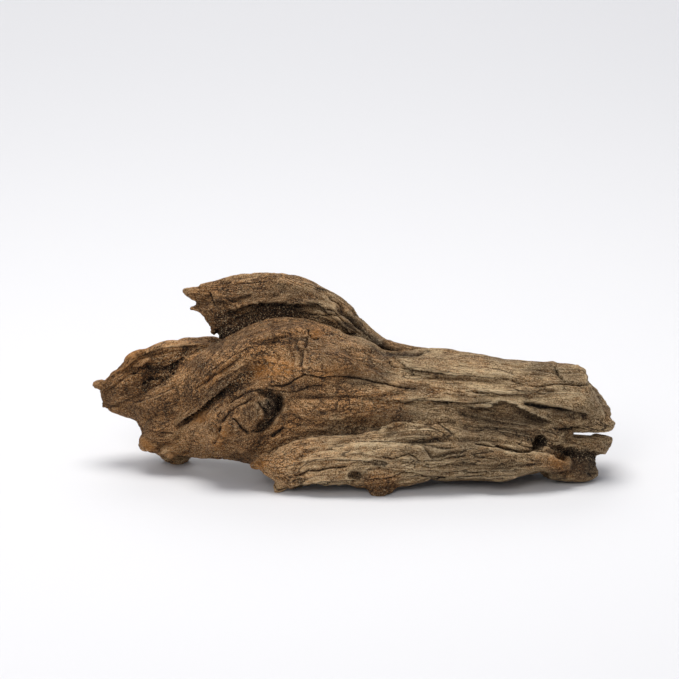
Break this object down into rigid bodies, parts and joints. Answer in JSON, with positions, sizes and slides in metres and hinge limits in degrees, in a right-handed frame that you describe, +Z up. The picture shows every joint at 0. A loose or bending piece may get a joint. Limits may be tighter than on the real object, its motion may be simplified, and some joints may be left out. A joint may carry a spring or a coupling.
{
  "type": "aquarium driftwood",
  "caption": "Weathered driftwood trunk lying on small worn feet, with a horn-like upper branch and a hollowed left root; layered, split and gnarled.",
  "frame": {"origin": "centre of the footprint's bounding box, on the floor that the feet stand on", "axes": "+X along the trunk from the hollow left root to the split end, +Y from the face to the back, +Z up"},
  "size_m": [0.26, 0.0923, 0.0961],
  "materials": {
    "trunk_wood": "raw weathered wood, grey-olive to rust brown along the grain",
    "branch_wood": "raw weathered wood, olive tan with dark cracks",
    "root_wood": "raw weathered wood, rust brown with a near-black hollow"
  },
  "bodies": {
    "root": {"trunk": "trunk_wood", "upper_branch": "branch_wood", "left_root": "root_wood"}
  },
  "joints": []
}
